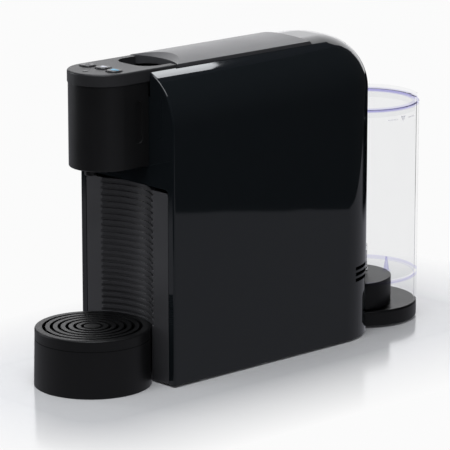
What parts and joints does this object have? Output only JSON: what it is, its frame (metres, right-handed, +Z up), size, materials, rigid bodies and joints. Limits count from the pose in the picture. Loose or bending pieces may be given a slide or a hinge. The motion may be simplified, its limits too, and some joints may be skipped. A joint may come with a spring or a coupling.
{
  "type": "pod coffee machine",
  "caption": "Compact pod coffee machine with an arched gloss case, a nose-shaped brewing head, a top lever, a round drip tray and a clear round water tank at the rear.",
  "frame": {"origin": "middle of the footprint, on the table", "axes": "+Z up, front (head and tray) towards -Y, tank towards +Y, +X to the right seen from behind the tank"},
  "size_m": [0.11, 0.3865, 0.2495],
  "materials": {
    "gloss_black": "high gloss",
    "matte_black": "fine texture",
    "satin_grey": "satin",
    "panel_grey": "semi gloss",
    "button_black": "satin",
    "dark_plastic": "matte",
    "clear_plastic": "clear",
    "rubber_black": "matte",
    "seal_rubber": "matte",
    "hose_silicone": "translucent",
    "steel": "brushed",
    "alloy": "cast",
    "pump_body": "moulded",
    "circuit_board": "solder mask",
    "board_black": "moulded"
  },
  "bodies": {
    "machine": {"left_case": "gloss_black", "right_case": "gloss_black", "head_shell": "matte_black", "tank_stand": "matte_black", "spout": "matte_black", "control_cap": "satin_grey", "top_deck": "panel_grey", "base_plate": "dark_plastic", "coffee_trough": "dark_plastic", "brew_frame": "dark_plastic", "flow_meter": "dark_plastic", "status_lens": "clear_plastic", "feet": "rubber_black", "cord_gland": "rubber_black", "pump_mounts": "rubber_black", "inlet_seal": "seal_rubber", "suction_hose": "hose_silicone", "feed_hose": "hose_silicone", "pressure_hose": "hose_silicone", "brew_hose": "hose_silicone", "case_screws": "steel", "lever_pin": "steel", "thermostat": "steel", "thermoblock": "alloy", "injector": "alloy", "pump": "pump_body", "button_board": "circuit_board", "control_board": "circuit_board", "button_switches": "board_black", "board_parts": "board_black"},
    "lever": {"lever": "satin_grey", "crank_pin": "steel"},
    "carriage": {"brew_carriage": "dark_plastic"},
    "button_left": {"button_left": "button_black"},
    "button_middle": {"button_middle": "button_black"},
    "button_right": {"button_right": "button_black"},
    "drawer": {"front_panel": "panel_grey", "capsule_bin": "dark_plastic"},
    "tray": {"drip_tray": "matte_black"},
    "grid": {"drip_grid": "satin_grey"},
    "tank": {"water_tank": "clear_plastic", "valve_body": "clear_plastic", "valve_seal": "seal_rubber", "filter_cage": "clear_plastic"},
    "lid": {"tank_lid": "clear_plastic"},
    "poppet": {"valve_poppet": "dark_plastic"}
  },
  "joints": [
    {"name": "lever_lift", "type": "hinge", "parent": "machine", "child": "lever", "pos_m": [0, 0.04995, 0.238], "axis": [-1, 0, 0], "range_deg": [0, 70]},
    {"name": "carriage_slide", "type": "slide", "parent": "machine", "child": "carriage", "axis": [0, -1, 0], "range_m": [0, 0.02524]},
    {"name": "left_press", "type": "slide", "parent": "machine", "child": "button_left", "axis": [0, 0, -1], "range_m": [0, 0.001], "stiffness_N_per_m": 800},
    {"name": "middle_press", "type": "slide", "parent": "machine", "child": "button_middle", "axis": [0, 0, -1], "range_m": [0, 0.001], "stiffness_N_per_m": 800},
    {"name": "right_press", "type": "slide", "parent": "machine", "child": "button_right", "axis": [0, 0, -1], "range_m": [0, 0.001], "stiffness_N_per_m": 800},
    {"name": "drawer_slide", "type": "slide", "parent": "machine", "child": "drawer", "axis": [0, -1, 0], "range_m": [0, 0.11]},
    {"name": "tray_lift", "type": "slide", "parent": "drawer", "child": "tray", "axis": [0, 0, 1], "range_m": [0, 0.06]},
    {"name": "grid_lift", "type": "slide", "parent": "tray", "child": "grid", "axis": [0, 0, 1], "range_m": [0, 0.04]},
    {"name": "tank_lift", "type": "slide", "parent": "machine", "child": "tank", "axis": [0, 0, 1], "range_m": [0, 0.12]},
    {"name": "lid_lift", "type": "slide", "parent": "tank", "child": "lid", "axis": [0, 0, 1], "range_m": [0, 0.05]},
    {"name": "poppet_rise", "type": "slide", "parent": "tank", "child": "poppet", "axis": [0, 0, 1], "range_m": [0, 0.003], "stiffness_N_per_m": 200}
  ],
  "couplings": [
    {"joint": "carriage_slide", "follows": "lever_lift", "m_per_rad": 0.020657}
  ]
}
